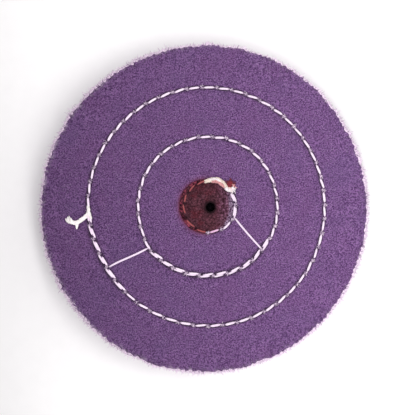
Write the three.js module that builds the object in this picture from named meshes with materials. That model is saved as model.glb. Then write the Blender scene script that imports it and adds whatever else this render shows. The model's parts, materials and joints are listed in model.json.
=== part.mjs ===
// A sewn cloth polishing wheel: forty round plies of dyed cotton sheeting between two leather centre
// washers, held together by one lockstitch seam that runs round three rings.
//
// Millimetres. +Z is the spin axis and points out of the front face. The origin is on the axis of the
// pinhole, halfway through the wheel. X and Y lie in the plane of the cloth.

import * as THREE from 'three';

// Cloth
const CLOTH_RADIUS = 50;
const CLOTH_CENTRE = new THREE.Vector2( - 1.95, - 0.55 ); // the discs sit this far off the pinhole's axis
const CLOTH_HOLE_RADIUS = 4; // hidden under the washers, so that only the leather grips the spindle
const PLY_COUNT = 40;
const PLY_THICKNESS = 0.24;
const PLY_GAP = 0.04;
const RIM_SIDES = 48;
const HOLE_SIDES = 16;

// Leather washers, as radii from the pinhole's axis and heights above the cloth
const PINHOLE_RADIUS = 1.5;
const DISH_RADIUS = 3; // the dish round the pinhole starts here
const FLAT_RADIUS = 6; // the flat face of the washer ends here
const GROOVE_RADIUS = 6.7; // outside this the seam has pressed the leather down
const WASHER_RADIUS = 8.3;
const WASHER_OFFSET = new THREE.Vector2( - 1.25, 0.3 ); // the washer's rim from the pinhole's axis
const WASHER_CLEARANCE = 0.04;
const DISH_HEIGHT = 0.8;
const WASHER_HEIGHT = 1.4;
const GROOVE_HEIGHT = 0.5;
const WASHER_SEGMENTS = 40;

// Seam: each row is a circle, sewn clockwise from one angle to another, in degrees
const THREAD_RADIUS = 0.3;
const THREAD_SIDES = 5;
const THREAD_STEPS = 170;
const PASS_SPACING = 0.7; // between two passes of the thread over the same stretch of a row
const POINT_SPACING = 12; // degrees between the points of a row
const JUMP_SHARES = [ 0.1, 0.9 ]; // where along a jump between two rows its straight stretch starts and ends
const ON_LEATHER = GROOVE_HEIGHT + 0.1 + THREAD_RADIUS;
const ON_CLOTH = 0.05 + THREAD_RADIUS;
const SEAM_ROWS = [
	{ centre: new THREE.Vector2( 0, 0.1 ), radius: 7.9, from: 89, to: - 384, height: ON_LEATHER },
	{ centre: new THREE.Vector2( - 0.8, 0.25 ), radius: 21.5, from: - 38, to: - 504, height: ON_CLOTH },
	{ centre: new THREE.Vector2( - 1.1, 0.25 ), radius: 36.6, from: - 149, to: - 539, height: ON_CLOTH },
];
const TAIL = [ [ - 39.4, - 4.3 ], [ - 41.2, - 5.2 ], [ - 42.7, - 4.9 ], [ - 44, - 3.5 ] ];

const cloth = new THREE.MeshStandardMaterial( { color: 0x735283, roughness: 0.95, metalness: 0 } );
const leather = new THREE.MeshStandardMaterial( { color: 0x57303c, roughness: 0.7, metalness: 0 } );
const thread = new THREE.MeshStandardMaterial( { color: 0xf1e7ef, roughness: 0.9, metalness: 0 } );

const stackHeight = PLY_COUNT * PLY_THICKNESS + ( PLY_COUNT - 1 ) * PLY_GAP;
const frontOfCloth = stackHeight / 2;

function polygon( radius, sides, centre ) {

	const corners = [];

	for ( let i = 0; i < sides; i ++ ) {

		const angle = i / sides * Math.PI * 2;
		corners.push( new THREE.Vector2( Math.cos( angle ), Math.sin( angle ) ).multiplyScalar( radius ).add( centre ) );

	}

	return corners;

}

// One cotton disc, with its front face at the given height.
function makePly( name, front ) {

	const outline = new THREE.Shape( polygon( CLOTH_RADIUS, RIM_SIDES, CLOTH_CENTRE ) );
	outline.holes.push( new THREE.Path( polygon( CLOTH_HOLE_RADIUS, HOLE_SIDES, new THREE.Vector2() ) ) );

	const geometry = new THREE.ExtrudeGeometry( outline, { depth: PLY_THICKNESS, bevelEnabled: false } );
	const ply = new THREE.Mesh( geometry, cloth.clone() );
	ply.name = name;
	ply.position.z = front - PLY_THICKNESS;
	return ply;

}

// A leather washer that lies on the front of the cloth: dished round its pinhole, flat, and pressed
// down near its rim where the seam goes through it. The pinhole isn't in the middle of its rim.
function makeFrontWasherGeometry() {

	const profile = [
		[ PINHOLE_RADIUS, WASHER_CLEARANCE ],
		[ WASHER_RADIUS, WASHER_CLEARANCE ],
		[ WASHER_RADIUS, GROOVE_HEIGHT - 0.1 ],
		[ WASHER_RADIUS - 0.15, GROOVE_HEIGHT ],
		[ GROOVE_RADIUS, GROOVE_HEIGHT ],
		[ FLAT_RADIUS, WASHER_HEIGHT ],
		[ DISH_RADIUS, WASHER_HEIGHT ],
		[ ( DISH_RADIUS + PINHOLE_RADIUS ) / 2, ( WASHER_HEIGHT + DISH_HEIGHT ) / 2 + 0.1 ],
		[ PINHOLE_RADIUS, DISH_HEIGHT ],
		[ PINHOLE_RADIUS, WASHER_CLEARANCE ],
	].map( ( [ radius, height ] ) => new THREE.Vector2( radius, height ) );

	const geometry = new THREE.LatheGeometry( profile, WASHER_SEGMENTS );
	geometry.rotateX( Math.PI / 2 );

	const position = geometry.attributes.position;

	for ( let i = 0; i < position.count; i ++ ) {

		const radius = Math.hypot( position.getX( i ), position.getY( i ) );
		const share = Math.max( 0, ( radius - FLAT_RADIUS ) / ( WASHER_RADIUS - FLAT_RADIUS ) );
		position.setX( i, position.getX( i ) + share * WASHER_OFFSET.x );
		position.setY( i, position.getY( i ) + share * WASHER_OFFSET.y );

	}

	return geometry;

}

// Points along one row, which drifts outwards as it is sewn so that its second pass lies beside its first.
function seamRowPoints( row ) {

	const turn = row.from - row.to;
	const count = Math.round( turn / POINT_SPACING );
	const points = [];

	for ( let i = 0; i <= count; i ++ ) {

		const angle = THREE.MathUtils.degToRad( row.from - turn * i / count );
		const drift = ( i / count - 0.5 ) * PASS_SPACING * turn / 360;
		const radius = row.radius + drift;
		points.push( new THREE.Vector3(
			row.centre.x + radius * Math.cos( angle ),
			row.centre.y + radius * Math.sin( angle ),
			row.height,
		) );

	}

	return points;

}

// The seam's thread as it lies on the front face: round the three rows, one after the other, with a
// straight jump to the next row, and a loose tail after the last.
function seamPath() {

	const points = [];

	for ( const row of SEAM_ROWS ) {

		const rowPoints = seamRowPoints( row );

		if ( points.length > 0 ) {

			const jumpStart = points.at( - 1 );
			points.push( ...JUMP_SHARES.map( ( share ) => jumpStart.clone().lerp( rowPoints[ 0 ], share ) ) );

		}

		points.push( ...rowPoints );

	}

	for ( const [ x, y ] of TAIL ) points.push( new THREE.Vector3( x, y, ON_CLOTH ) );

	return new THREE.CatmullRomCurve3( points, false, 'centripetal' );

}

function makeFrontThreadGeometry() {

	const section = new THREE.Shape( polygon( THREAD_RADIUS, THREAD_SIDES, new THREE.Vector2() ) );
	return new THREE.ExtrudeGeometry( section, { steps: THREAD_STEPS, extrudePath: seamPath() } );

}

// Adds a piece that lies on the front face, and its mirror image on the back.
function addFrontAndBack( wheel, geometry, material, frontName, backName ) {

	const front = new THREE.Mesh( geometry, material.clone() );
	front.name = frontName;
	front.position.z = frontOfCloth;

	const mirrored = geometry.clone().scale( 1, 1, - 1 );
	turnFacesRound( mirrored );
	const back = new THREE.Mesh( mirrored, material.clone() );
	back.name = backName;
	back.position.z = - frontOfCloth;

	wheel.add( front, back );

}

// Swaps two corners of every triangle.
function turnFacesRound( geometry ) {

	if ( geometry.index === null ) geometry.setIndex( [ ...Array( geometry.attributes.position.count ).keys() ] );

	const index = geometry.index;

	for ( let i = 0; i < index.count; i += 3 ) {

		const second = index.getX( i + 1 );
		index.setX( i + 1, index.getX( i + 2 ) );
		index.setX( i + 2, second );

	}

}

const wheel = new THREE.Group();
wheel.name = 'polishing_wheel';

for ( let i = 0; i < PLY_COUNT; i ++ ) {

	const number = String( i + 1 ).padStart( 2, '0' );
	wheel.add( makePly( `cloth_ply_${ number }`, frontOfCloth - i * ( PLY_THICKNESS + PLY_GAP ) ) );

}

addFrontAndBack( wheel, makeFrontWasherGeometry(), leather, 'front_leather_washer', 'back_leather_washer' );
addFrontAndBack( wheel, makeFrontThreadGeometry(), thread, 'needle_thread', 'bobbin_thread' );

export default wheel;
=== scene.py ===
"""A sewn cloth polishing wheel, lying flat and seen from straight above.

Forty cotton plies with frayed rims lie between two leather washers. A lockstitch seam runs through them
in three rings. Lengths are in metres. Most shapes are worked out in the wheel's own round coordinates:
rho, the distance from the middle, and theta, the angle from +X.
"""

import json
import math

import bpy
import numpy as np
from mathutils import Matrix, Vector

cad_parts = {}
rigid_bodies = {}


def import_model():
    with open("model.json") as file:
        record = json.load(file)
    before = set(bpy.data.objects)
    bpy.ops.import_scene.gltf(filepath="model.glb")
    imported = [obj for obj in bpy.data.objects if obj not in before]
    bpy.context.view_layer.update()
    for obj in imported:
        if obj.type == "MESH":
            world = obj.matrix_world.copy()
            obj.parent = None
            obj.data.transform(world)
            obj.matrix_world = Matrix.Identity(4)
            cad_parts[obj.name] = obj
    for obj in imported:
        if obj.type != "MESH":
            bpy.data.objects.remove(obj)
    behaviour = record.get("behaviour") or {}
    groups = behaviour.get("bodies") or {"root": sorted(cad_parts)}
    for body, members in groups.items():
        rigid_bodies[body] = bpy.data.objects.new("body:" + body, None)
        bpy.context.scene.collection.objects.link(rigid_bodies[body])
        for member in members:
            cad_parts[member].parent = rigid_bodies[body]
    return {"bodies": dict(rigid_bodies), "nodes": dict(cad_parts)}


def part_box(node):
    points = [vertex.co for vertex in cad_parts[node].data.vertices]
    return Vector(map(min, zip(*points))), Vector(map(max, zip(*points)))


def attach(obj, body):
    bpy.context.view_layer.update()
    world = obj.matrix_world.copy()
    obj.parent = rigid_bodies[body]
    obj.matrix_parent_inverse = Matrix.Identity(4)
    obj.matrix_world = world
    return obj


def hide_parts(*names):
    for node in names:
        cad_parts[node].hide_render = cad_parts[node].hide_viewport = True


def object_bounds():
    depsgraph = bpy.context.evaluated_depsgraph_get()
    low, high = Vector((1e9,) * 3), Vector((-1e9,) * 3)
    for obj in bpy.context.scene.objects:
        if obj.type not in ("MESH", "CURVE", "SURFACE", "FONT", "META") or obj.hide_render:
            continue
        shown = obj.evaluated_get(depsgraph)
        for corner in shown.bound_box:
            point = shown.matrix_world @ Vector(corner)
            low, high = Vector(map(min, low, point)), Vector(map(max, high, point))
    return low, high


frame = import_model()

cad_low, cad_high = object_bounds()
rng = np.random.default_rng(20)
MM = 0.001

# ---- sizes, from the frame

PLY_NODES = sorted(n for n in frame["nodes"] if n.startswith("cloth_ply_"))
PLIES = len(PLY_NODES)
ply_low, ply_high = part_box(PLY_NODES[0])
CLOTH_RADIUS = (ply_high.x - ply_low.x) / 2
CLOTH_CENTRE = ((ply_high.x + ply_low.x) / 2, (ply_high.y + ply_low.y) / 2)
CLOTH_FRONT = ply_high.z
CLOTH_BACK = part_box(PLY_NODES[-1])[0].z
CLOTH_HOLE = 4 * MM  # the radius of the hole that the leather hides
PLY_THICKNESS = ply_high.z - ply_low.z
washer_low, washer_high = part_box("front_leather_washer")
WASHER_RADIUS = (washer_high.x - washer_low.x) / 2
WASHER_CENTRE = ((washer_high.x + washer_low.x) / 2, (washer_high.y + washer_low.y) / 2)
WASHER_HEIGHT = washer_high.z - CLOTH_FRONT
PINHOLE = 1.38 * MM  # the radius of the hole in the leather, whose dished lip closes over the CAD one
THREAD = 0.345 * MM  # the thread's radius


class Row:
    """One ring of stitches: its centre and radius in millimetres, and the angles of its stitches' middles.

    All angles are in degrees. doubled is the stretch that was sewn over twice. bulges say how the ring is
    out of round: how many bulges, their size in millimetres and the angle of one of them. pulls are where
    the thread drags the ring in or out: millimetres outward, the angle, and the width in degrees.
    """

    def __init__(self, centre, radius, middles, doubled, bulges=(), pulls=()):
        self.centre = np.array(centre) * MM
        self.radius = radius * MM
        self.middles = np.radians(middles)
        after = np.append(self.middles[1:], self.middles[0] + 2 * math.pi)
        self.holes = (self.middles + after) / 2
        self.spans = self.holes - np.append(self.holes[-1] - 2 * math.pi, self.holes[:-1])
        self.doubled = doubled
        self.bulges = bulges
        self.pulls = pulls

    def is_doubled(self, angle):
        low, high = self.doubled
        return (math.degrees(angle) - low) % 360 < high - low

    def out_of_round(self, theta):
        out = np.zeros_like(theta)
        for count, size, at in self.bulges:
            out = out + size * MM * np.cos(count * (theta - math.radians(at)))
        for size, at, width in self.pulls:
            away = (np.degrees(theta) - at + 180) % 360 - 180
            out = out + size * MM * bell(away, width)
        return out


def to_nearest(angles, theta):
    """How far theta lies from the nearest of some angles, in radians."""
    apart = (theta[..., None] - angles + math.pi) % (2 * math.pi) - math.pi
    return np.abs(apart).min(axis=-1)


def evenly(count, first, *drifts):
    """Angles of stitches round a ring, in degrees.

    The sewer's pace drifts. Each drift is (waves round the ring, degrees, angle of a crest).
    """
    angles = first + np.arange(count) * 360 / count
    for waves, size, crest in drifts:
        angles = angles + size * np.cos(np.radians(waves * (angles - crest)))
    return angles


CENTRE_ROW = Row(
    (-0.26, 0.16),
    7.95,
    [21, 47, 74, 109, 134, 161, 185, 221, 251, 281, 313, 349],
    (338, 398),
    pulls=[(-0.3, 284, 14)],
)
INNER_ROW = Row(
    (-0.8, 0.25),
    21.57,
    evenly(32, 0.53, (1, 1.6, 82), (2, 0.8, -39)),
    (214, 328),
    bulges=[(2, 0.05, 21), (3, 0.07, -28), (4, 0.15, -41)],
    pulls=[(0.52, 216, 8), (-0.54, 322, 12)],
)
OUTER_ROW = Row(
    (-1.2, 0.2),
    36.63,
    evenly(51, 4.07, (1, 1.4, -41), (2, 1.07, -80), (3, 0.47, 5)),
    (180, 224),
    bulges=[(2, 0.19, -66), (3, 0.08, -56)],
    pulls=[(-0.49, 204, 18)],
)
ROWS = [CENTRE_ROW, INNER_ROW, OUTER_ROW]

# ---- round coordinates


def place(rho, theta):
    """X and Y of a point. The circles drift from the pinhole's axis to the cloth's own centre.

    Near a row of stitches they are as far out of round as the row.
    """
    stops = [0, *(row.radius for row in ROWS), CLOTH_RADIUS]
    centres = np.array([(0, 0), *(row.centre for row in ROWS), CLOTH_CENTRE])
    reach = rho
    for number, row in enumerate(ROWS, 1):
        nearness = np.interp(rho, stops, np.arange(len(stops)) == number)
        reach = reach + nearness * row.out_of_round(theta)
    x = np.interp(rho, stops, centres[:, 0]) + reach * np.cos(theta)
    y = np.interp(rho, stops, centres[:, 1]) + reach * np.sin(theta)
    return np.array([x, y])


def round_coordinates(x, y):
    """The rho and theta that place turns into x and y."""
    rho, theta = np.hypot(x, y), np.arctan2(y, x)
    for _ in range(3):
        drift_x, drift_y = place(rho, theta) - rho * np.array([np.cos(theta), np.sin(theta)])
        rho, theta = np.hypot(x - drift_x, y - drift_y), np.arctan2(y - drift_y, x - drift_x)
    return rho, theta


def steps_round(count):
    """Angles at equal steps round the wheel."""
    return np.arange(count) / count * 2 * math.pi


def smooth(low, high, value):
    """0 below low, 1 above high, and an S between."""
    t = np.clip((value - low) / (high - low), 0, 1)
    return t * t * (3 - 2 * t)


def bell(away, width):
    """1 at no distance, falling to nearly 0 two widths away."""
    return np.exp(-((away / width) ** 2))


LATTICE_SIZE = 256
LATTICE = rng.random((LATTICE_SIZE, LATTICE_SIZE)) * 2 - 1


def bumps(x, y, size, seed):
    """Smooth noise from -1 to 1, with lumps about size across."""
    u = x / size + 37.3 * seed
    v = y / size + 91.7 * seed
    i, j = np.floor(u).astype(int), np.floor(v).astype(int)
    a, b = smooth(0, 1, u - i), smooth(0, 1, v - j)

    def corner(di, dj):
        return LATTICE[(i + di) % LATTICE_SIZE, (j + dj) % LATTICE_SIZE]

    low = corner(0, 0) * (1 - a) + corner(1, 0) * a
    high = corner(0, 1) * (1 - a) + corner(1, 1) * a
    return low * (1 - b) + high * b


def wobble(theta, slowest, fastest):
    """A closed wavy line round the wheel, about -1 to 1, with from slowest to fastest waves."""
    total = np.zeros_like(theta)
    waves = np.arange(slowest, fastest + 1)
    for n in waves:
        total += rng.normal() * np.cos(n * theta + rng.uniform(0, 2 * math.pi))
    return total / math.sqrt(len(waves))


# ---- the shape of the sewn stack

PILLOW = 0.28 * MM  # how far the cloth stands up between the rows
VALLEY_DEPTH, VALLEY_WIDTH = 0.42 * MM, 2.6 * MM  # the hollow along a row
GROOVE_DEPTH, GROOVE_WIDTH = 0.2 * MM, 0.75 * MM  # and the narrow groove in it
LEATHER_DENT = 0.12 * MM  # how far a washer presses the cloth in
HOLE_LENGTH, HOLE_WIDTH = 0.5 * MM, 0.42 * MM  # of a needle hole, along the row and across it


def swell(rho, theta):
    """How far the stack's face stands above its nominal height: pulled in at the rows, full between."""
    height = np.full(rho.shape, PILLOW)
    for row in ROWS:
        away = rho - row.radius
        from_hole = to_nearest(row.holes, theta) / row.spans.mean()
        scallop = 1 + 0.2 * np.cos(math.pi * from_hole * 2)
        height = height - VALLEY_DEPTH * bell(away, VALLEY_WIDTH) * scallop
        height = height - GROOVE_DEPTH * bell(away, GROOVE_WIDTH)
    under_leather = 1 - smooth(WASHER_RADIUS - 1.5 * MM, WASHER_RADIUS + 1.5 * MM, rho)
    return height * (1 - under_leather) - LEATHER_DENT * under_leather


def warp(x, y):
    """The slight bend that all plies share."""
    out = (x * x + y * y) / CLOTH_RADIUS**2
    return 0.22 * MM * out * bumps(x, y, 46 * MM, 3) + 0.1 * MM * bumps(x, y, 15 * MM, 5) * out


def face_height(rho, theta, side):
    """Z of the stack's front (side 1) or back (side -1) face, without the needle holes."""
    x, y = place(rho, theta)
    level = CLOTH_FRONT if side > 0 else CLOTH_BACK
    rim = smooth(OUTER_ROW.radius + 4 * MM, CLOTH_RADIUS, rho)
    flare = rim * (0.15 + 0.3 * bumps(x, y, 13 * MM, 8 + side)) * MM
    return level + side * (swell(rho, theta) + flare) + warp(x, y)


def needle_pits(rho, theta):
    """1 in the middle of each needle hole, falling to 0 round it; it dents the cloth and is painted as
    shade.
    """
    depth = np.zeros(rho.shape)
    for row in ROWS:
        near = np.abs(rho - row.radius) < 2 * MM
        along = to_nearest(row.holes, theta[near]) * row.radius / HOLE_LENGTH
        across = (rho[near] - row.radius) / HOLE_WIDTH
        depth[near] = np.maximum(depth[near], np.exp(-(along**2) - across**2))
    return depth


def stitch_creases(rho, theta):
    """1 under each stitch, falling to 0 beside it, where the thread presses the cloth in and is painted as
    shade.
    """
    depth = np.zeros(rho.shape)
    for row in ROWS:
        near = np.abs(rho - row.radius) < 3 * MM
        apart = to_nearest(row.middles, theta[near]) * row.radius
        width = np.array([1.15 if row.is_doubled(a) else 0.75 for a in theta[near]]) * MM
        # the crease and its painted shade lie a little to -X of the thread, on its shaded side
        lee = 0.16 * MM * np.cos(theta[near])
        across = (rho[near] - row.radius + lee) / width
        ends = 1 - 0.5 * smooth(1.4 * MM, 2.2 * MM, apart)
        broken = 0.85 + 0.6 * bumps(*place(rho[near], theta[near]), 0.7 * MM, 23)
        depth[near] = np.maximum(depth[near], np.exp(-(across**6)) * ends * np.clip(broken, 0.3, 1))
    return depth


# ---- meshes


def make_object(name, vertices, faces, material, smooth_faces=True):
    """A piece from arrays of points and of faces that all have the same number of corners."""
    mesh = bpy.data.meshes.new(name)
    corners = faces.shape[1]
    mesh.vertices.add(len(vertices))
    mesh.vertices.foreach_set("co", np.ascontiguousarray(vertices, np.float32).ravel())
    mesh.loops.add(faces.size)
    mesh.loops.foreach_set("vertex_index", np.ascontiguousarray(faces, np.int32).ravel())
    mesh.polygons.add(len(faces))
    mesh.polygons.foreach_set("loop_start", np.arange(0, faces.size, corners, dtype=np.int32))
    mesh.polygons.foreach_set("use_smooth", np.full(len(faces), smooth_faces))
    mesh.update(calc_edges=True)
    mesh.materials.append(material)
    piece = bpy.data.objects.new(name, mesh)
    bpy.context.scene.collection.objects.link(piece)
    return piece


def paint(piece, name, values):
    """Gives each vertex a grey value, or a colour, that the materials read."""
    values = np.asarray(values, np.float32)
    if values.ndim == 1:
        piece.data.attributes.new(name, "FLOAT", "POINT").data.foreach_set("value", values)
        return
    colours = np.ones((len(values), 4), np.float32)
    colours[:, :3] = values
    piece.data.attributes.new(name, "FLOAT_COLOR", "POINT").data.foreach_set("color", colours.ravel())


def ring_faces(rings, around, closed):
    """Quads between neighbouring rings of points; closed joins the last ring to the first."""
    i, j = np.meshgrid(np.arange(rings if closed else rings - 1), np.arange(around), indexing="ij")
    i, j = i.ravel(), j.ravel()
    up, on = (i + 1) % rings, (j + 1) % around
    return np.stack([i * around + j, up * around + j, up * around + on, i * around + on], axis=1)


def tubes(paths, radii, sides, lobes=0.0, twist=0.0, flat=1.0):
    """Triangles of many closed tubes at once. paths is (tubes, points, 3) and radii (tubes, points).

    lobes raises three strands by that share of the radius, wound twist radians per point; flat squashes
    the tube's height.
    """
    count, points, _ = paths.shape
    ahead = np.gradient(paths, axis=1)
    ahead /= np.linalg.norm(ahead, axis=2, keepdims=True) + 1e-12
    up = np.zeros_like(paths)
    up[..., 2] = 1
    steep = np.abs(ahead[..., 2]) > 0.98
    up[steep] = (1, 0, 0)
    left = np.cross(up, ahead)
    left /= np.linalg.norm(left, axis=2, keepdims=True)
    above = np.cross(ahead, left)
    turn = steps_round(sides)
    wind = np.arange(points) * twist
    swollen = 1 + lobes * np.cos(3 * (turn[None, :] - wind[:, None]))
    radius = radii[..., None] * swollen[None]
    ring = (
        paths[:, :, None]
        + left[:, :, None] * (radius * np.cos(turn))[..., None]
        + above[:, :, None] * (radius * np.sin(turn) * flat)[..., None]
    )
    each = points * sides + 2
    vertices = np.concatenate([ring.reshape(count, -1, 3), paths[:, :1], paths[:, -1:]], axis=1)
    quads = ring_faces(points, sides, False)[:, ::-1]
    walls = np.concatenate([quads[:, [0, 1, 2]], quads[:, [0, 2, 3]]])
    j = np.arange(sides)
    on = (j + 1) % sides
    first = np.stack([np.full(sides, each - 2), on, j], axis=1)
    last = np.stack([np.full(sides, each - 1), j, on], axis=1)
    last[:, 1:] += (points - 1) * sides
    one = np.concatenate([walls, first, last])
    faces = (one[None] + each * np.arange(count)[:, None, None]).reshape(-1, 3)
    return vertices.reshape(-1, 3), faces


def gather(parts):
    """Joins several lists of points and triangles into one."""
    vertices, faces, start = [], [], 0
    for v, f in parts:
        vertices.append(v)
        faces.append(f + start)
        start += len(v)
    return np.concatenate(vertices), np.concatenate(faces)


# ---- materials


class Shader:
    """A node material, built by small calls that each give back a socket.

    constants are set on the surface itself, named as its sockets are, with _ for a space.
    """

    def __init__(self, name, **constants):
        self.material = bpy.data.materials.new(name)
        self.material.use_nodes = True
        self.tree = self.material.node_tree
        self.surface = self.tree.nodes["Principled BSDF"]
        for socket, value in constants.items():
            self.surface.inputs[socket.replace("_", " ")].default_value = value
        self.where = self.node("ShaderNodeTexCoord").outputs["Object"]

    def node(self, kind, **settings):
        made = self.tree.nodes.new(kind)
        for key, value in settings.items():
            setattr(made, key, value)
        return made

    def put(self, value, socket):
        if isinstance(value, bpy.types.NodeSocket):
            self.tree.links.new(value, socket)
        else:
            socket.default_value = value

    def math(self, operation, a, b=0.0):
        made = self.node("ShaderNodeMath", operation=operation)
        self.put(a, made.inputs[0])
        self.put(b, made.inputs[1])
        return made.outputs[0]

    def between(self, value, low, high, to_low=0.0, to_high=1.0):
        made = self.node("ShaderNodeMapRange", interpolation_type="SMOOTHSTEP")
        for socket, x in zip(made.inputs, (value, low, high, to_low, to_high)):
            self.put(x, socket)
        return made.outputs[0]

    def noise(self, size, detail=2.0, roughness=0.5):
        """Noise from 0 to 1 with lumps about size metres across."""
        made = self.node("ShaderNodeTexNoise")
        self.put(self.where, made.inputs["Vector"])
        made.inputs["Scale"].default_value = 1 / size
        made.inputs["Detail"].default_value = detail
        made.inputs["Roughness"].default_value = roughness
        return made.outputs["Fac"]

    def mix(self, share, a, b, blend="MIX"):
        made = self.node("ShaderNodeMix", data_type="RGBA", blend_type=blend)
        for socket, x in zip((made.inputs[0], made.inputs[6], made.inputs[7]), (share, a, b)):
            self.put((*x, 1) if isinstance(x, tuple) else x, socket)
        return made.outputs[2]

    def along(self, axis):
        """The position along X (0), Y (1) or Z (2)."""
        split = self.node("ShaderNodeSeparateXYZ")
        self.put(self.where, split.inputs[0])
        return split.outputs[axis]

    def value(self, name):
        return self.node("ShaderNodeAttribute", attribute_name=name).outputs["Fac"]

    def colour(self, name):
        return self.node("ShaderNodeAttribute", attribute_name=name).outputs["Color"]

    def bump(self, height, depth):
        made = self.node("ShaderNodeBump")
        made.inputs["Distance"].default_value = depth
        self.put(height, made.inputs["Height"])
        self.put(made.outputs[0], self.surface.inputs["Normal"])

    def base(self, colour):
        self.put(colour, self.surface.inputs["Base Color"])

    def roughness(self, value):
        self.put(value, self.surface.inputs["Roughness"])


def plain_weave(shader, pitch):
    """Height, 0 to 1, of a plain weave whose yarns lie along X and Y."""
    turn = math.pi / pitch
    warp_wave = shader.math("COSINE", shader.math("MULTIPLY", shader.along(0), turn))
    weft_wave = shader.math("COSINE", shader.math("MULTIPLY", shader.along(1), turn))
    over = shader.between(shader.math("MULTIPLY", warp_wave, weft_wave), -0.35, 0.35)
    warp_yarn = shader.math("MULTIPLY", shader.math("ABSOLUTE", warp_wave), over)
    under = shader.math("SUBTRACT", 1.0, over)
    weft_yarn = shader.math("MULTIPLY", shader.math("ABSOLUTE", weft_wave), under)
    return shader.math("MAXIMUM", warp_yarn, weft_yarn)


def cloth_material():
    """Dyed cotton sheeting with a suede-like nap, lint, cloudy dye, and the marks that the plies carry:
    painted shade, the washer's dye and pale fuzz.
    """
    cloth = Shader("purple_cotton", Sheen_Weight=0.12, Sheen_Roughness=0.5, Specular_IOR_Level=0.2)
    weave = plain_weave(cloth, 0.42 * MM)
    nap = cloth.noise(0.39 * MM, 2.5, 0.65)
    lint = cloth.noise(0.27 * MM, 1.0, 0.6)
    clouds = cloth.noise(2.6 * MM)
    patches = cloth.noise(9 * MM)
    dark, light = (0.029, 0.0046, 0.049), (0.184, 0.0895, 0.236)
    tint = cloth.mix(cloth.between(nap, 0.375, 0.625), dark, light)
    tint = cloth.mix(cloth.between(clouds, 0.3, 0.7, 0.28, 0.0), tint, (0.060, 0.025, 0.088))
    tint = cloth.mix(cloth.between(patches, 0.25, 0.5, 0.22, 0.0), tint, (0.083, 0.050, 0.138))
    tint = cloth.mix(cloth.between(patches, 0.5, 0.75, 0.0, 0.22), tint, (0.108, 0.034, 0.122))
    tint = cloth.mix(cloth.between(lint, 0.6, 0.74, 0.0, 0.65), tint, (0.30, 0.22, 0.35))
    tint = cloth.mix(cloth.between(weave, 0.0, 0.7, 0.4, 0.0), tint, (0.045, 0.018, 0.058))
    # painted shade beside the stitches and round the rim
    tint = cloth.mix(cloth.math("MULTIPLY", cloth.value("shade"), 0.8), tint, (0.012, 0.005, 0.014))
    tint = cloth.mix(cloth.math("MULTIPLY", cloth.value("dyed"), 0.8), tint, (0.13, 0.020, 0.034))
    tint = cloth.mix(cloth.value("raw"), tint, (0.55, 0.46, 0.58))
    # painted shade deep in the needle holes
    cloth.base(cloth.mix(cloth.value("pit"), tint, (0.008, 0.004, 0.012)))
    cloth.roughness(cloth.between(nap, 0.2, 0.8, 0.82, 0.97))
    height = cloth.math("ADD", cloth.math("MULTIPLY", weave, 0.4), nap)
    cloth.bump(height, 0.16 * MM)
    return cloth.material


def fray_material():
    """Frayed yarn, pale where the dye didn't reach it."""
    fray = Shader("frayed_cotton", Sheen_Weight=0.2, Specular_IOR_Level=0.2)
    fibre = fray.noise(0.12 * MM)
    pale = fray.mix(fray.between(fibre, 0.3, 0.7), (0.66, 0.50, 0.67), (0.92, 0.79, 0.92))
    fray.base(fray.mix(fray.value("dye"), pale, (0.11, 0.052, 0.145)))
    fray.roughness(fray.between(fibre, 0.2, 0.8, 0.85, 1.0))
    fray.bump(fibre, 0.03 * MM)
    return fray.material


def fluff_material():
    """Near-black fluff: painted shade deep in the bore."""
    fluff = Shader("bore_shade_fluff", Specular_IOR_Level=0.05)
    fibre = fluff.noise(0.3 * MM)
    fluff.base(fluff.mix(fluff.between(fibre, 0.3, 0.7), (0.0015, 0.001, 0.002), (0.006, 0.003, 0.006)))
    fluff.roughness(0.95)
    return fluff.material


def thread_material():
    """Spun cotton thread in the tint that each strand carries, darker in the hollows between its fibres,
    with dirt in blotches.
    """
    thread = Shader("white_thread", Sheen_Weight=0.15, Specular_IOR_Level=0.25)
    fibre = thread.noise(0.22 * MM, 3.0, 0.6)
    dirt = thread.noise(1.2 * MM)
    dulled = thread.mix(1.0, thread.colour("tint"), (0.76, 0.64, 0.77), blend="MULTIPLY")
    tint = thread.mix(thread.between(fibre, 0.35, 0.6, 0.6, 0.0), thread.colour("tint"), dulled)
    stained = thread.mix(1.0, tint, (0.78, 0.62, 0.78), blend="MULTIPLY")
    thread.base(thread.mix(thread.between(dirt, 0.55, 0.8, 0.0, 0.6), tint, stained))
    thread.roughness(thread.between(fibre, 0.2, 0.8, 0.7, 0.95))
    thread.bump(fibre, 0.08 * MM)
    return thread.material


def leather_cracks(leather):
    """1 in the fine cracks of the leather's face, 0 between them."""
    cells = leather.node("ShaderNodeTexVoronoi", feature="DISTANCE_TO_EDGE")
    leather.put(leather.where, cells.inputs["Vector"])
    cells.inputs["Scale"].default_value = 1 / (0.8 * MM)
    return leather.between(cells.outputs["Distance"], 0.0, 0.14, 1.0, 0.0)


def leather_edge(leather, scuffed):
    """Colour of a washer's cut edge: ragged dark red, and covered in lint where it is scuffed."""
    ragged = leather.between(leather.noise(0.8 * MM, 3.0), 0.42, 0.62)
    red = leather.mix(ragged, (0.014, 0.0025, 0.006), (0.205, 0.037, 0.066))
    lint = leather.between(leather.noise(0.5 * MM, 3.0, 0.65), 0.4, 0.64)
    linty = leather.mix(lint, (0.034, 0.010, 0.038), (0.350, 0.250, 0.370))
    return leather.mix(scuffed, red, linty)


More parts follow.
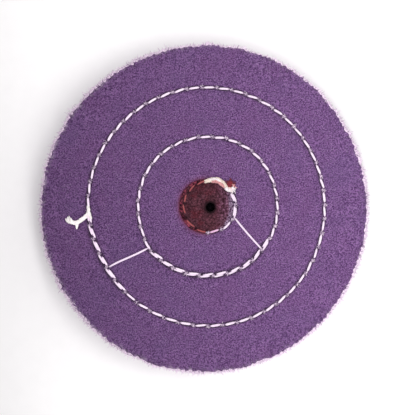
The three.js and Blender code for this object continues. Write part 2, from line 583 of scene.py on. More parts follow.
def leather_material():
    """Dyed split leather: grained, cracked, stained, scuffed toward +X, with near-black painted shade round
    the pinhole.
    """
    leather = Shader("red_brown_leather", Specular_IOR_Level=0.05)
    grain = leather.noise(0.75 * MM, 4.0, 0.72)
    stains = leather.noise(2.6 * MM, 3.0, 0.6)
    crack = leather_cracks(leather)
    toward_x = leather.math("ADD", leather.along(0), leather.math("MULTIPLY", stains, 5 * MM))
    scuffed = leather.between(toward_x, 3.0 * MM, 8.5 * MM)
    tint = leather.mix(leather.between(grain, 0.3, 0.7), (0.018, 0.0045, 0.008), (0.101, 0.034, 0.050))
    tint = leather.mix(leather.between(stains, 0.45, 0.7, 0.0, 0.4), tint, (0.105, 0.010, 0.018))
    rough = leather.mix(leather.between(grain, 0.38, 0.62), (0.024, 0.005, 0.014), (0.190, 0.085, 0.150))
    tint = leather.mix(leather.math("MULTIPLY", scuffed, 0.8), tint, rough)
    tint = leather.mix(leather.math("MULTIPLY", crack, 0.5), tint, (0.012, 0.003, 0.005))
    tint = leather.mix(leather.value("edge"), tint, leather_edge(leather, scuffed))
    # painted shade, near black, round the pinhole and in the needle holes
    leather.base(leather.mix(leather.value("hole_shade"), tint, (0.003, 0.002, 0.003)))
    leather.roughness(leather.between(grain, 0.3, 0.7, 0.6, 0.9))
    height = leather.math("SUBTRACT", grain, leather.math("MULTIPLY", crack, 0.4))
    leather.bump(height, 0.2 * MM)
    return leather.material


CLOTH = cloth_material()
FRAY = fray_material()
FLUFF = fluff_material()
THREAD_WHITE = thread_material()
LEATHER = leather_material()

# ---- cloth plies

EDGE_SIDES = 480  # how many points round a ply inside the stack
FACE_SIDES = 720  # and round the front and back ones
PIT_DEPTH = 0.55 * MM  # how deep a needle hole dents the cloth's face
CREASE_DEPTH = 0.12 * MM  # and how deep a stitch presses it in


def slots():
    """For each ply, the share of the stack above it at the rim, as (plies + 1, EDGE_SIDES)."""
    theta = steps_round(EDGE_SIDES)
    widths = np.array([np.exp(0.42 * wobble(theta, 2, 26)) for _ in range(PLIES)])
    widths = np.clip(widths, 0.62, 2.2)
    tops = np.concatenate([np.zeros((1, EDGE_SIDES)), np.cumsum(widths, axis=0)])
    return tops / tops[-1]


# how the wheel is out of round: how many bulges, their size as a share of the radius, the angle of one
RIM_BULGES = [(1, 0.0017, 75), (2, 0.0027, 71), (3, 0.0025, -58)]
RIM_BULGES += [(4, 0.0022, -14), (5, 0.001, -8), (6, 0.001, 5)]


def rim(outer):
    """A ply's own edge round the wheel, as a share of the cloth's radius. The outer plies spread most."""
    theta = steps_round(FACE_SIDES)
    if outer:
        bulges = sum(size * np.cos(count * (theta - math.radians(at))) for count, size, at in RIM_BULGES)
        edge = 1.0022 + bulges + 0.003 * wobble(theta, 5, 50)
        return edge + 0.0038 * wobble(theta, 60, 240)
    edge = 0.9972 + 0.0018 * wobble(theta, 1, 4) + 0.0018 * wobble(theta, 5, 50)
    return edge + 0.0022 * wobble(theta, 51, 190)


SLOTS = slots()
RIMS = [rim(k in (0, PLIES - 1)) for k in range(PLIES)]


def around(values, theta):
    """A line round the wheel, stored at equal steps, read at any angle."""
    at = (theta / (2 * math.pi)) % 1 * len(values)
    i = np.floor(at).astype(int)
    share = at - i
    return values[i % len(values)] * (1 - share) + values[(i + 1) % len(values)] * share


def ply_heights(k, rho, theta):
    """Z of the upper and lower side of ply k, counted from the front."""
    front, back = face_height(rho, theta, 1), face_height(rho, theta, -1)
    loose = smooth(OUTER_ROW.radius + 2 * MM, CLOTH_RADIUS, rho)
    above = k / PLIES * (1 - loose) + around(SLOTS[k], theta) * loose
    below = (k + 1) / PLIES * (1 - loose) + around(SLOTS[k + 1], theta) * loose
    top, floor = front + (back - front) * above, front + (back - front) * below
    middle, half = (top + floor) / 2, np.minimum((top - floor) * 0.42, PLY_THICKNESS / 2)
    if k == 0:
        return top, top - 2 * half
    if k == PLIES - 1:
        return floor + 2 * half, floor
    return middle + half, middle - half


def hidden_radii(steps):
    """Radii of the rings of a face inside the stack: enough to follow the valleys along the rows."""
    radii = [CLOTH_HOLE, 14.9 * MM, 29 * MM, 43 * MM, 46 * MM, 48 * MM, 49.2 * MM]
    step = np.arange(-steps, steps + 1)
    away = step * (0.2 + abs(step)) / (steps * (0.2 + steps)) * 3.8 * MM
    for row in ROWS:
        radii.extend(row.radius + away)
    return np.array(sorted(radii))


def fine_radii():
    """Radii of the rings of an outer face: close together at the rows of stitches and at the rim."""
    radii, rho = [CLOTH_HOLE], CLOTH_HOLE + 1.2 * MM
    while rho < CLOTH_RADIUS - 0.15 * MM:
        radii.append(rho)
        nearest = min(abs(rho - row.radius) for row in ROWS)
        close = nearest < 1.3 * MM or rho > CLOTH_RADIUS - 1.4 * MM
        rho += (0.2 if close else 0.62) * MM
    return np.array(radii)


def nap_height(x, y, rho):
    """The slight unevenness of the cloth's face."""
    puckers = 0.035 * MM * bumps(x, y, 2.2 * MM, 11) + 0.02 * MM * bumps(x, y, 0.8 * MM, 12)
    return puckers * smooth(CLOTH_HOLE, CLOTH_HOLE + 2 * MM, rho)


def rim_shade_and_fuzz(x, y, reach, angle):
    """How dark and how pale the face is near its rim, in patches: the dark is painted shade where the rim
    rounds down, the pale is raw fuzz, paler toward -X. reach is rho over the rim's own share.
    """
    dark = 0.6 * np.clip(0.05 + 1.5 * bumps(x, y, 0.55 * MM, 21), 0, 1)
    dark = dark * smooth(CLOTH_RADIUS - 1.4 * MM, CLOTH_RADIUS - 0.4 * MM, reach)
    pale = smooth(CLOTH_RADIUS - 1.1 * MM, CLOTH_RADIUS - 0.1 * MM, reach)
    pale = pale * np.clip(0.1 + 1.4 * bumps(x, y, 0.45 * MM, 22), 0, 1)
    return dark, pale * (0.25 - 0.2 * np.cos(angle))


def washer_dye(x, y):
    """The dye that ran out of the leather: 1 at the washer's edge, fading away from it, only toward -X."""
    away = np.hypot(x - WASHER_CENTRE[0], y - WASHER_CENTRE[1]) - WASHER_RADIUS
    return np.exp(-np.maximum(away, 0) / (0.6 * MM)) * smooth(-4 * MM, 4 * MM, -x)


def ply_side(k, facing, outward, radii, theta):
    """One side of ply k: its points, and how much of a pit, how dark and how pale each of them is.

    facing is 1 for the upper side and -1 for the lower; outward is the one that shows, or 0 in the stack.
    """
    edge_share = around(RIMS[k], theta)[None, :]
    rho = np.append(radii, CLOTH_RADIUS - 0.04 * MM)[:, None]
    rho = rho * (1 + (edge_share - 1) * smooth(CLOTH_RADIUS - 6 * MM, CLOTH_RADIUS, rho))
    angle = np.broadcast_to(theta, rho.shape)
    x, y = place(rho, angle)
    z = ply_heights(k, rho, angle)[0 if facing > 0 else 1]
    if not outward:
        return np.stack([x, y, z], axis=2), np.zeros((3, *z.shape))
    # needle holes and creases are dented and painted as shade; the rim gets painted shade and pale fuzz
    pit, crease = needle_pits(rho, angle), stitch_creases(rho, angle)
    dark, pale = rim_shade_and_fuzz(x, y, rho / edge_share, angle)
    z = z - outward * pit * (PIT_DEPTH if facing == outward else 0.3 * MM)
    if facing == outward:
        z = z + outward * nap_height(x, y, rho) - outward * CREASE_DEPTH * crease
    return np.stack([x, y, z], axis=2), np.stack([pit, np.maximum(crease, dark), pale])


def ply_piece(k):
    """One disc of cloth. The front and back ones carry the needle holes and the nap on their outer face."""
    outward = 1 if k == 0 else -1 if k == PLIES - 1 else 0
    sides = FACE_SIDES if outward else EDGE_SIDES
    theta = steps_round(sides)
    hidden = hidden_radii(3 if k < 3 or k >= PLIES - 3 else 1)
    upper, upper_marks = ply_side(k, 1, outward, fine_radii() if outward == 1 else hidden, theta)
    lower, lower_marks = ply_side(k, -1, outward, fine_radii() if outward == -1 else hidden, theta)
    x, y = place(CLOTH_RADIUS * around(RIMS[k], theta)[None, :], theta[None, :])
    edge = np.stack([x, y, (upper[-1:, :, 2] + lower[-1:, :, 2]) / 2], axis=2)
    edge_marks = np.zeros((3, 1, sides))
    edge_marks[2] = 0.8  # the cut edge is pale
    rings = np.concatenate([upper, edge, lower[::-1]])
    pit, shade, raw = np.concatenate([upper_marks, edge_marks, lower_marks[:, ::-1]], axis=1)
    faces = ring_faces(len(rings), sides, True)
    piece = make_object(f"cloth_{k + 1:02d}", rings.reshape(-1, 3), faces, CLOTH)
    paint(piece, "dyed", washer_dye(rings[..., 0], rings[..., 1]).ravel())
    # pit and shade are painted shade: in the needle holes, beside the stitches and round the rim
    paint(piece, "pit", np.clip(pit.ravel() * 1.3, 0, 1))
    paint(piece, "shade", shade.ravel())
    paint(piece, "raw", raw.ravel())
    return piece


# ---- frayed rim

YARN_PITCH = 0.46 * MM
YARN = 0.12 * MM  # the radius of a frayed yarn
# the plies whose frayed ends make one piece: the first, and the one after the last
FRAY_GROUPS = [(0, 2), (2, 5), (5, 16), (16, 27), (27, 36), (36, PLIES)]


def cut_yarns(fibres):
    """Where a weave's yarns end on a disc's cut edge, and which way they run.

    The disc is cut out of a weave, so its yarn ends lie on a square grid, whatever their angle to the rim.
    """
    grain = rng.uniform(0, math.pi / 2)
    lines = np.arange(-CLOTH_RADIUS + 0.2 * MM, CLOTH_RADIUS, YARN_PITCH)
    starts, ways = [], []
    for quarter in range(4):
        along = grain + quarter * math.pi / 2
        forward = np.array([math.cos(along), math.sin(along)])
        sideways = np.array([-forward[1], forward[0]])
        off = np.repeat(lines, fibres)
        off = off + rng.normal(0, 0.12 * MM, len(off))
        off = off[np.abs(off) < CLOTH_RADIUS * 0.985]
        reach = np.sqrt(CLOTH_RADIUS**2 - off**2)
        starts.append(reach[:, None] * forward + off[:, None] * sideways)
        ways.append(np.repeat(forward[None], len(off), axis=0))
    return np.concatenate(starts), np.concatenate(ways)


def frayed_ends(k):
    """Paths, radii and dye of the yarn ends that stick out of ply k's cut edge.

    The outer plies are the ones handled, and they fray the most.
    """
    fibres = 5 if k < 2 else 4 if k < 5 else 3 if k >= PLIES - 4 else 1
    start, way = cut_yarns(fibres)
    theta = np.arctan2(start[:, 1], start[:, 0])
    outward = np.stack([np.cos(theta), np.sin(theta)], axis=1)
    way = way * 0.5 + outward * 0.5 + rng.normal(0, 0.3, way.shape)
    way /= np.linalg.norm(way, axis=1, keepdims=True)
    tufted = 0.85 + 0.4 * wobble(theta, 3, 60)
    purple = rng.random(len(theta)) < 0.3
    length = np.clip(rng.gamma(8, 0.09, len(theta)) * tufted, 0.25, 1.3) * np.where(purple, 0.55, 1) * MM
    edge = CLOTH_RADIUS * around(RIMS[k], theta)
    top, floor = ply_heights(k, edge, theta)
    x, y = place(edge - 0.1 * MM, theta)
    root = np.stack([x, y, (top + floor) / 2], axis=1)
    curl = rng.normal(0, 0.32, (len(theta), 3)) * (1, 1, 0.5)
    steps = np.array([0, 0.45, 1.0])
    straight = np.concatenate([way, np.zeros((len(way), 1))], axis=1)
    paths = root[:, None] + (length[:, None] * steps)[..., None] * straight[:, None]
    paths += (length[:, None] * steps**2)[..., None] * curl[:, None]
    radii = YARN * rng.uniform(0.7, 1.25, len(theta))[:, None] * np.array([1.0, 0.95, 0.55])
    faded = np.clip(rng.normal(0.05 if fibres > 1 else 0.25, 0.2, len(theta)), 0, 1)
    dye = np.where(purple, 1, faded)[:, None] * np.array([1.5, 1.0, 0.7])
    return paths, radii, dye


def fray_piece(group):
    """The frayed ends of one group of plies, as thin three-sided yarns."""
    made = [frayed_ends(k) for k in range(*FRAY_GROUPS[group])]
    paths, radii, dye = (np.concatenate(x) for x in zip(*made))
    sides = 3
    vertices, faces = tubes(paths, radii, sides)
    piece = make_object(f"frayed_rim_{group + 1}", vertices, faces, FRAY)
    along = np.repeat(dye, sides, axis=1)
    paint(piece, "dye", np.clip(np.concatenate([along, dye[:, :1], dye[:, -1:]], axis=1).ravel(), 0, 1))
    return piece


def bore_piece():
    """Dark fluff in the bore, from the plies' hidden inner edges, near black as painted shade. A spindle
    pushes it aside.
    """
    count = 900
    theta = rng.uniform(0, 2 * math.pi, count)
    depth = rng.uniform(CLOTH_BACK + 0.5 * MM, CLOTH_FRONT - 0.8 * MM, count)
    t = np.linspace(0, 1, 6)
    reach = rng.uniform(2.0, 5.5, count) * MM
    bend = rng.normal(0, 0.7, count)
    rho = CLOTH_HOLE + 0.1 * MM - reach[:, None] * t
    turn = theta[:, None] + bend[:, None] * t**2
    z = depth[:, None] + rng.normal(0, 0.5, count)[:, None] * MM * t**2
    paths = np.stack([rho * np.cos(turn), rho * np.sin(turn), z], axis=2)
    radii = rng.uniform(0.07, 0.13, count)[:, None] * MM * (1 - 0.5 * t)
    vertices, faces = tubes(paths, radii, 3)
    return make_object("bore_fluff", vertices, faces, FLUFF)


# ---- leather washers

WASHER_SIDES = 200
WASHER_RINGS = 46
DISH = 0.85 * MM  # how deep a washer sinks round its pinhole, and over what distance
ROW_GROOVE = 0.22 * MM  # how deep the centre row's thread presses into it
ROW_PIT = 0.3 * MM  # and how deep its needle holes are
THINNEST = 0.12 * MM


def leather_top(rho, theta):
    """Height of a washer's face above the cloth."""
    x, y = rho * np.cos(theta), rho * np.sin(theta)
    pressed = smooth(5.6 * MM, 7.6 * MM, rho)
    height = WASHER_HEIGHT * (1 - 0.6 * pressed)
    height = height + 0.25 * MM * smooth(CENTRE_ROW.radius + 0.3 * MM, CENTRE_ROW.radius + 1.4 * MM, rho)
    dish = np.exp(-np.maximum(rho - PINHOLE, 0) / DISH)
    flush = pressed * smooth(3.5 * MM, 6.5 * MM, x)  # toward +X its rim is level with the cloth
    height = height * (1 - 0.75 * flush)
    return height - DISH * dish + 0.04 * MM * bumps(x, y, 0.9 * MM, 2) * (rho > 2 * MM)


def row_grooves(x, y):
    """Where the centre row's thread pulls a washer in, and where the needle went through, from 0 to 1."""
    from_row = np.hypot(x - CENTRE_ROW.centre[0], y - CENTRE_ROW.centre[1]) - CENTRE_ROW.radius
    groove = bell(from_row, 0.6 * MM)
    apart = to_nearest(CENTRE_ROW.holes, np.arctan2(y, x)) * CENTRE_ROW.radius
    return groove, bell(apart, 0.6 * MM) * groove


def paint_washer(piece, side, edge, hole_shade):
    """Gives a washer's rings their edge colour and painted shade: underside, rim, face and the pinhole's
    wall.
    """
    ones = np.ones((1, edge.shape[1]))
    for name, face, at_rim, in_hole in (("edge", edge, 1.0, 0.0), ("hole_shade", hole_shade, 0.0, 1.0)):
        rings = np.concatenate([face, at_rim * ones, face[::-1], in_hole * ones, in_hole * ones])
        paint(piece, name, np.clip(rings[:, ::-1] if side > 0 else rings, 0, 1).ravel())


def washer_piece(name, node, side):
    """A leather disc, dished round its pinhole; side is 1 for the front one and -1 for the back one."""
    theta = steps_round(WASHER_SIDES)
    ragged = 1 + 0.010 * wobble(theta, 2, 9) + 0.010 * wobble(theta, 10, 60)
    share = np.linspace(0, 1, WASHER_RINGS)[:, None]  # 0 at the pinhole, 1 at the rim
    circle = np.array([np.cos(theta), np.sin(theta)])
    outline = np.array(WASHER_CENTRE)[:, None] + WASHER_RADIUS * ragged * circle
    hole = PINHOLE * circle
    x, y = hole[:, None] + (outline - hole)[:, None] * share
    rho = np.hypot(x, y)
    groove, pit = row_grooves(x, y)
    top = leather_top(rho, np.arctan2(y, x)) - ROW_GROOVE * groove - ROW_PIT * pit
    top = np.maximum(top, THINNEST) * (1 - 0.35 * smooth(0.955, 1.0, share))
    under = np.stack([x, y, np.full_like(top, 0.03 * MM)], axis=2)
    wall = np.stack([*outline * 1.006, top[-1] * 0.5], axis=1)[None]
    face = np.stack([x, y, top], axis=2)
    lip = [np.stack([*hole * 0.97, top[0] * height], axis=1)[None] for height in (0.8, 0.3)]
    rings = np.concatenate([under, wall, face[::-1], *lip])
    if side > 0:
        rings = rings[:, ::-1]
    rings[..., 2] = side * rings[..., 2] + (CLOTH_FRONT if side > 0 else CLOTH_BACK)
    piece = make_object(name, rings.reshape(-1, 3), ring_faces(len(rings), WASHER_SIDES, True), LEATHER)
    linty = smooth(4 * MM, 7 * MM, x)
    edge = smooth(0.84 - 0.25 * linty, 0.95 - 0.1 * linty, share) * (0.8 + 0.3 * wobble(theta, 3, 30))
    # painted shade in the dish round the pinhole and in the centre row's needle holes
    hole_shade = bell(rho - PINHOLE, DISH) * 0.85 + pit * 0.7
    paint_washer(piece, side, edge, np.clip(hole_shade, 0, 1))
    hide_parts(node)
    return piece


# ---- thread

WHITE = np.array([0.97, 0.83, 0.98])
CREAM = np.array([0.60, 0.52, 0.44])
BLEACHED = np.array([0.70, 0.66, 0.66])
FRESH = np.array([0.98, 0.96, 0.92])
PINK = np.array([0.52, 0.25, 0.25])
DYED = np.array([0.26, 0.056, 0.060])
REDDENED = np.array([0.64, 0.47, 0.57])
BLOOD = np.array([0.15, 0.010, 0.022])
WINDING = 2 * math.pi / (1.9 * MM)  # radians of twist per metre of thread
THREAD_SIDES = 12
STRAND_RELIEF = 0.16  # how far a thread's three strands stand out, as a share of its radius
PRESSED_FLAT = 0.9  # a thread's height as a share of its width
THREAD_STEP = 0.17 * MM  # between the points along a loose thread
LOOSE = (False, False)  # a thread that dives in at neither end
SUNK = (True, True)  # and at both


def on_top(x, y, side):
    """Height of whatever the thread lies on at a point: the cloth, or the washer's face on it."""
    z = face_height(*round_coordinates(x, y), side) * side
    inside_washer = WASHER_RADIUS - np.hypot(x - WASHER_CENTRE[0], y - WASHER_CENTRE[1])
    on_leather = smooth(-0.5 * MM, 0.3 * MM, inside_washer)
    leather = CLOTH_FRONT + leather_top(np.hypot(x, y), np.arctan2(y, x)) - 0.3 * MM
    return side * (z * (1 - on_leather) + np.maximum(z, leather) * on_leather)


def curve_through(points):
    """A smooth line through points, as evenly spaced ones."""
    ends = np.concatenate([[2 * points[0] - points[1]], points, [2 * points[-1] - points[-2]]])
    line = []
    for a, b, c, d in zip(ends, ends[1:], ends[2:], ends[3:]):
        t = np.linspace(0, 1, 24, endpoint=False)[:, None]
        square, cube = 2 * a - 5 * b + 4 * c - d, 3 * b - a - 3 * c + d
        line.append(0.5 * (2 * b + (c - a) * t + square * t**2 + cube * t**3))
    line = np.concatenate([*line, points[-1:]])
    run = np.append(0, np.cumsum(np.linalg.norm(np.diff(line, axis=0), axis=1)))
    at = np.linspace(0, run[-1], max(6, round(run[-1] / THREAD_STEP)))
    return np.stack([np.interp(at, run, line[:, i]) for i in range(2)], axis=1)


def strand(points, radius, tint, taper, tips=0.2):
    """One twisted thread along points, with its colour at each point; tips is the share that tapers."""
    points = np.asarray(points, float)
    step = np.linalg.norm(np.diff(points, axis=0), axis=1).mean()
    t = np.linspace(0, 1, len(points))
    thin = 1 - (1 - taper[0]) * (1 - smooth(0, tips, t)) - (1 - taper[1]) * smooth(1 - tips, 1, t)
    radii = (radius * thin)[None]
    mesh = tubes(points[None], radii, THREAD_SIDES, STRAND_RELIEF, WINDING * step, PRESSED_FLAT)
    colours = np.broadcast_to(np.asarray(tint, float), (len(points), 3))
    return mesh, np.concatenate([np.repeat(colours, THREAD_SIDES, axis=0), colours[:1], colours[-1:]])


def dimmed_toward_x(tint, x):
    """The thread is painted darker toward +X, to offset the lamp's brighter light on that side."""
    return tint * (1 - 0.3 * smooth(-50 * MM, 15 * MM, x))


def row_stitch(row, number, side, across, along, radius, tint):
    """One stitch of a row: out of a needle hole, over the cloth and down the next, a little askew.

    across and along shift it outward and round the ring.
    """
    t = np.linspace(0, 1, 31)
    length = min(row.spans[number], row.spans.mean() * 1.12)
    angle = row.middles[number] + (0.5 - t) * length + along / row.radius
    askew = rng.normal(0.2, 0.08) * MM
    x, y = place(row.radius + across + askew * (t - 0.5) * 2, angle)
    sinks = rng.uniform(0.0, 0.09, 2)
    over = smooth(sinks[0] - 0.03, sinks[0] + 0.23, t) * smooth(sinks[1] - 0.03, sinks[1] + 0.23, 1 - t)
    z = on_top(x, y, side) + side * (over * 0.92 - 0.66) * MM
    # painted shade, lilac, where the stitch sinks toward its holes
    sinking_shade = np.array((0.41, 0.29, 0.44))
    sinking_shade = sinking_shade + (1 - sinking_shade) * smooth(0.45, 0.95, over)[:, None]
    size = radius * rng.uniform(0.9, 1.1)
    return strand(np.stack([x, y, z], axis=1), size, tint * sinking_shade, taper=(0.25, 0.25), tips=0.34)


def lie_along(xy, side, lift, hump, sink, ends):
    """Heights of a loose thread over the face; it may dive in at its ends."""
    t = np.linspace(0, 1, len(xy))
    dive = np.zeros_like(t)
    if ends[0]:
        dive += 1 - smooth(0, 0.08, t)
    if ends[1]:
        dive += smooth(0.92, 1, t)
    return on_top(xy[:, 0], xy[:, 1], side) + side * (lift + hump * np.sin(math.pi * t) - dive * sink)


def free_strand(xy, side, radius, tint, lift=0.3, hump=0.0, ends=SUNK, taper=(0.8, 0.8)):
    """A loose thread through a few points. Points, lift and hump are in millimetres."""
    xy = curve_through(np.array(xy) * MM)
    z = lie_along(xy, side, lift * MM, hump * MM, 0.7 * MM, ends)
    return strand(np.column_stack([xy, z]), radius * MM, tint, taper=taper)


def rope(xy, side, radius, tint, strands=3, lift=0.4, hump=0.0, fray=0.0, ends=(True, False), root=0.8):
    """A bundle of threads wound round each other, coming apart at its end by fray. Millimetres again."""
    xy = curve_through(np.array(xy) * MM)
    t = np.linspace(0, 1, len(xy))
    z = lie_along(xy, side, lift * MM, hump * MM, 0.9 * MM, ends)
    ahead = np.gradient(xy, axis=0)
    left = np.stack([-ahead[:, 1], ahead[:, 0]], axis=1) / np.linalg.norm(ahead, axis=1, keepdims=True)
    made = []
    for i in range(strands):
        turn = 2 * math.pi * i / strands + t * len(xy) * 0.26 + rng.normal(0, 0.3)
        out = radius * MM * (0.55 + 0.05 * rng.normal() + fray * smooth(0.72, 1, t))
        path = xy + left * (out * np.cos(turn))[:, None]
        height = z + side * np.abs(out) * np.sin(turn) * 0.7
        shade = tint * rng.uniform(0.84, 1.06)
        made.append(strand(np.column_stack([path, height]), radius * MM * 0.58, shade, taper=(root, 0.4)))
    return made


def tuft(xy, reach, tint, count):
    """Loose fibres on the front, sticking out all round a point, in millimetres."""
    made = []
    for _ in range(count):
        way = rng.uniform(0, 2 * math.pi)
        out = np.array([math.cos(way), math.sin(way)])
        root = np.array(xy) + rng.normal(0, 0.22 * reach, 2)
        length = reach * rng.uniform(0.35, 0.8)
        bent = root + out * length * 0.6 + rng.normal(0, 0.12 * reach, 2)
        fibre = [root, bent, root + out * length]
        shade = tint * rng.uniform(0.8, 1.15)
        lift = rng.uniform(0.25, 1.1)
        made.append(free_strand(fibre, 1, 0.08, shade, lift=lift, ends=LOOSE, taper=(1, 0.3)))
    return made


DYED_ARC = (95, 262)  # degrees round the centre row: where the washer's dye has soaked its thread
REDDENED_ARC = (262, 300)  # and where it has only touched it


def row_tint(row, angle):
    """Colour of the thread in a row at an angle."""
    degrees = math.degrees(angle) % 360
    if row is CENTRE_ROW and DYED_ARC[0] < degrees < DYED_ARC[1]:
        return DYED
    if row is CENTRE_ROW and REDDENED_ARC[0] < degrees < REDDENED_ARC[1]:
        return REDDENED * WHITE
    return dimmed_toward_x(WHITE, place(row.radius, angle)[0])


def seam_rows(side):
    """The stitches of all three rows on one face."""
    made = []
    for row in ROWS:
        for number, middle in enumerate(row.middles):
            tint = row_tint(row, middle)
            thin = 0.72 if tint is DYED else 1.0
            if row.is_doubled(middle):
                apart, behind = rng.uniform(0.22, 0.32) * MM, rng.uniform(0.2, 0.6) * MM
                made.append(row_stitch(row, number, side, -apart, behind, THREAD * 0.95, tint))
                made.append(row_stitch(row, number, side, apart, -behind, THREAD * 0.85, tint * 0.92))
            else:
                made.append(row_stitch(row, number, side, 0.0, 0.0, THREAD * thin, tint))
    return made


# the thread's straight ways from the centre row to the inner row and on to the outer row, in millimetres
JUMPS = [
    [(7.35, -3.1), (9.5, -5.8), (12.6, -9.4), (15.9, -13.0)],
    [(-19.2, -12.6), (-23.0, -14.5), (-28.6, -17.0), (-31.4, -18.5)],
]


def starting_lump():
    """The start on the centre row: doubled-back thread, with a red tip where the washer's dye caught it."""
    lump = [(-2.2, 7.6), (-1.0, 8.1), (0.6, 8.5), (2.2, 8.5)]
    lump += [(3.6, 7.7), (4.6, 6.7), (5.6, 5.8), (6.8, 5.2)]
    over = [(-0.6, 8.3), (1.0, 8.7), (2.4, 8.4), (3.4, 7.6)]
    inside = [(0.2, 7.9), (1.8, 7.9), (3.2, 7.1), (4.4, 6.0)]
    brush = [(4.6, 6.0), (5.6, 5.3), (6.6, 5.5), (7.4, 6.0)]
    red_tip = [(5.3, 6.4), (5.8, 6.9), (6.2, 7.4), (6.3, 7.9)]
    made = rope(lump, 1, 0.64, CREAM, strands=6, lift=0.5, fray=0.4, root=0.3)
    made += rope(over, 1, 0.4, BLEACHED, lift=0.9, ends=SUNK)
    made += rope(inside, 1, 0.42, PINK, lift=0.6, ends=SUNK)
    made += rope(brush, 1, 0.55, BLEACHED, strands=5, lift=0.6, fray=0.9)
    made += tuft((6.9, 5.4), 1.3, BLEACHED, 46)
    made += rope(red_tip, 1, 0.8, BLOOD, strands=6, lift=0.5, fray=0.3)
    made += tuft((6.1, 7.3), 1.5, BLOOD, 90)
    return made + tuft((6.9, 6.3), 1.3, PINK * 1.4, 22)


def cut_tail():
    """The end on the outer row: it comes up out of the cloth, curls over it and untwists at its cut."""
    root = [(-37.8, 0.6), (-37.6, -0.9), (-37.2, -2.5), (-36.9, -3.9)]
    tail = [(-37.7, -1.4), (-38.0, -2.4), (-39.6, -3.8)]
    tail += [(-41.1, -4.7), (-42.4, -4.7), (-43.4, -4.1), (-44.2, -3.2)]
    made = rope(root, 1, 0.46, FRESH * 0.92, ends=SUNK)
    made += rope(tail, 1, 0.56, FRESH, strands=5, lift=0.5, hump=0.35, fray=0.9)
    for tip in ((-44.5, -3.6), (-44.6, -4.1), (-44.3, -4.6), (-43.9, -5.0)):
        bristle = [(-42.2, -4.7), (-43.1, -4.5), tip]
        made.append(free_strand(bristle, 1, 0.17, FRESH, lift=0.6, ends=LOOSE, taper=(1, 0.3)))
    for start in (-40.6, -40.9, -41.3, -41.6):
        bristle = [(start, -4.7), (start * 0.5 - 20.6, -5.6), (-41.2, -6.8)]
        made.append(free_strand(bristle, 1, 0.2, FRESH, lift=0.5, ends=LOOSE, taper=(1, 0.4)))
    return made


def front_thread():
    """The needle thread: the rows, the jumps between them, the lump where it starts and its cut tail."""
    made = seam_rows(1)
    for jump in JUMPS:
        tint = dimmed_toward_x(WHITE, jump[1][0] * MM) * 0.94
        made.append(free_strand(jump, 1, 0.3, tint, lift=0.33, hump=0.15))
    return made + starting_lump() + cut_tail()


def back_thread():
    """The bobbin thread lies on the back along the same route, with a short end of its own."""
    made = seam_rows(-1)
    for jump in JUMPS:
        made.append(free_strand(jump, -1, 0.29, WHITE, hump=0.1))
    tail = [(-37.3, -2.0), (-38.4, -4.0), (-40.3, -5.2), (-41.8, -6.8)]
    made += rope(tail, -1, 0.4, WHITE, fray=0.8)
    return made


def thread_piece(name, node, made):
    """One thread from all its strands."""
    vertices, faces = gather([mesh for mesh, _ in made])
    piece = make_object(name, vertices, faces, THREAD_WHITE)
    paint(piece, "tint", np.concatenate([colours for _, colours in made]))
    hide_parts(node)
    return piece


# ---- lint at the needle holes


def lint_piece(name, side):
    """Pale fibres that the needle pulled up, curled round each hole, most of them on its outer side."""
    paths, radii = [], []
    t = np.linspace(0, 1, 7)
    for row in ROWS:
        for hole in row.holes:
            if row_tint(row, hole) is DYED:
                continue
            for _ in range(rng.integers(18, 30)):
                size = rng.uniform(0.2, 0.75) * MM
                way = rng.uniform(0, 2 * math.pi)
                bend = rng.normal(0, 0.7) * t
                out = size * (t - 0.3)
                rho = row.radius + out * np.sin(way + bend) + rng.normal(0.15, 0.25) * MM
                angle = hole + (out * np.cos(way + bend) + rng.normal(0, 0.28) * MM) / row.radius
                x, y = place(rho, angle)
                lift = rng.uniform(0.05, 0.3) * MM * np.sin(math.pi * t) + 0.04 * MM
                z = on_top(x, y, side) + side * lift
                paths.append(np.stack([x, y, z], axis=1))
                radii.append(rng.uniform(0.035, 0.065) * MM * (1 - 0.5 * t))
    vertices, faces = tubes(np.array(paths), np.array(radii), 4)
    piece = make_object(name, vertices, faces, FRAY)
    dye = rng.uniform(0, 0.6, len(paths))
    paint(piece, "dye", np.repeat(dye, len(vertices) // len(paths)))
    return piece


# ---- put it together


def paper_floor():
    """Pale paper, wide enough to fill any view."""
    reach = 1.6
    height = cad_low.z - 0.02 * MM
    corners = [(-reach, -reach), (reach, -reach), (reach, reach), (-reach, reach)]
    corners = np.array([(x, y, height) for x, y in corners])
    paper = Shader("white_paper")
    paper.base(paper.mix(paper.noise(4 * MM, 3.0), (0.86, 0.855, 0.86), (0.90, 0.895, 0.9)))
    paper.roughness(0.9)
    sheet = make_object("floor", corners, np.array([[0, 1, 2, 3]]), paper.material, smooth_faces=False)


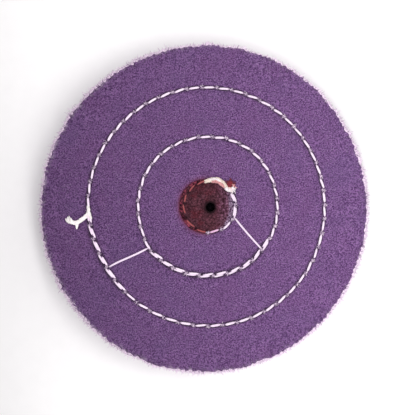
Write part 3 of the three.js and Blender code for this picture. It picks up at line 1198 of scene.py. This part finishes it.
def lights():
    """A large soft lamp whose light grazes the wheel, and an even light from all round.

    The lamp hangs above the wheel's +X side and points away from it, further along +X.
    """
    lamp = bpy.data.lights.new("softbox", "AREA")
    lamp.shape = "RECTANGLE"
    lamp.size = 0.50
    lamp.size_y = 0.473
    lamp.energy = 3.16
    lamp.color = (1.0, 0.99, 0.985)
    softbox = bpy.data.objects.new("softbox", lamp)
    softbox.location = (0.094, -0.110, 0.344)
    aim = Vector((0.785, 0, 0)) - softbox.location
    softbox.rotation_euler = aim.to_track_quat("-Z", "Y").to_euler()
    bpy.context.scene.collection.objects.link(softbox)

    world = bpy.data.worlds.new("room")
    world.use_nodes = True
    background = world.node_tree.nodes["Background"]
    background.inputs["Color"].default_value = (1.0, 0.985, 0.99, 1)
    background.inputs["Strength"].default_value = 0.872
    bpy.context.scene.world = world


def camera():
    """Straight above the wheel. The frame is as wide as 1.28 cloth diameters at the cloth's face."""
    distance = 0.62
    view_width = 1.28 * 2 * CLOTH_RADIUS
    lens = bpy.data.cameras.new("camera")
    lens.sensor_width = 36
    lens.lens = lens.sensor_width * distance / view_width
    lens.clip_start = 0.01
    eye = bpy.data.objects.new("camera", lens)
    eye.location = (-0.90 * MM, -0.09 * MM, CLOTH_FRONT + distance)
    bpy.context.scene.collection.objects.link(eye)
    bpy.context.scene.camera = eye
    bpy.context.scene.view_settings.view_transform = "Standard"


camera()
paper_floor()
lights()

plies = [ply_piece(k) for k in range(PLIES)]
front_washer = washer_piece("front_washer", "front_leather_washer", 1)
back_washer = washer_piece("back_washer", "back_leather_washer", -1)
frays = [fray_piece(group) for group in range(len(FRAY_GROUPS))]
needle_thread = thread_piece("seam_front", "needle_thread", front_thread())
bobbin_thread = thread_piece("seam_back", "bobbin_thread", back_thread())
front_lint = lint_piece("needle_lint_front", 1)
back_lint = lint_piece("needle_lint_back", -1)
bore_fluff = bore_piece()

for k, ply in enumerate(plies):
    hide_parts(PLY_NODES[k])

BODY = next(iter(frame["bodies"]))
others = [front_washer, back_washer, needle_thread, bobbin_thread, front_lint, back_lint, bore_fluff]
for piece in [*plies, *frays, *others]:
    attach(piece, BODY)
